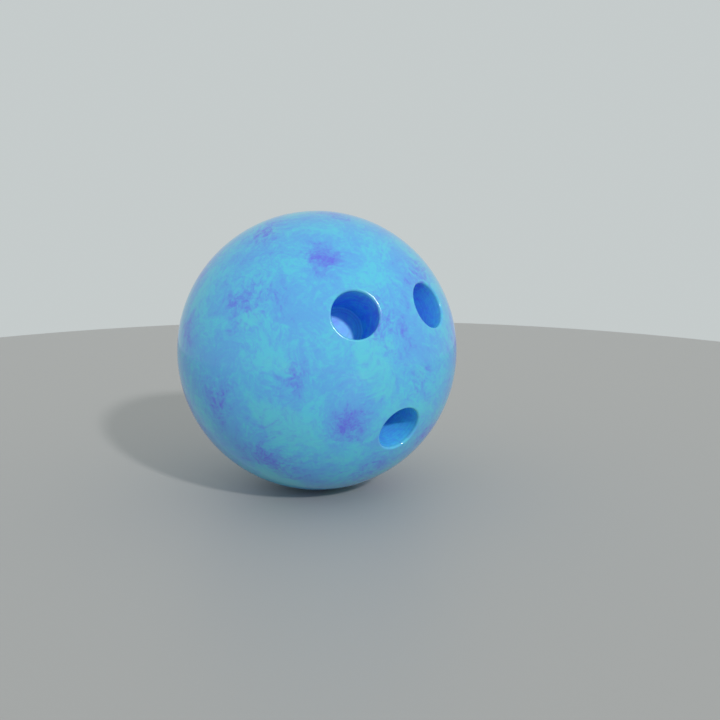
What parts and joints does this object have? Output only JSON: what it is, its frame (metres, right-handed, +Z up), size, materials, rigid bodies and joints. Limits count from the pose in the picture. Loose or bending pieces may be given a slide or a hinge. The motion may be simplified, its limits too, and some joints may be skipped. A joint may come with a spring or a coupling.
{
  "type": "bowling ball",
  "caption": "Solid ball with a marbled coverstock, radial finger bores and a thumb bore, cast round a weighted core that a locator pin marks on the surface.",
  "frame": {"origin": "centre of the ball", "axes": "+Z up as the ball lies, -Y towards the centre of the grip, which lies rolled 1.35 degrees about its own centre"},
  "size_m": [0.217, 0.217, 0.217],
  "materials": {
    "coverstock": "polished marbled resin, pale cyan with violet-blue clouds",
    "outer_core": "cast filler with glass bubbles",
    "weight_block": "cast resin heavily filled with mineral",
    "flip_block": "cast resin with the heaviest mineral fill",
    "locator_pin": "polished flush with the ball"
  },
  "bodies": {
    "root": {"coverstock": "coverstock", "outer_core": "outer_core", "weight_block": "weight_block", "flip_block": "flip_block", "locator_pin": "locator_pin"}
  },
  "joints": []
}
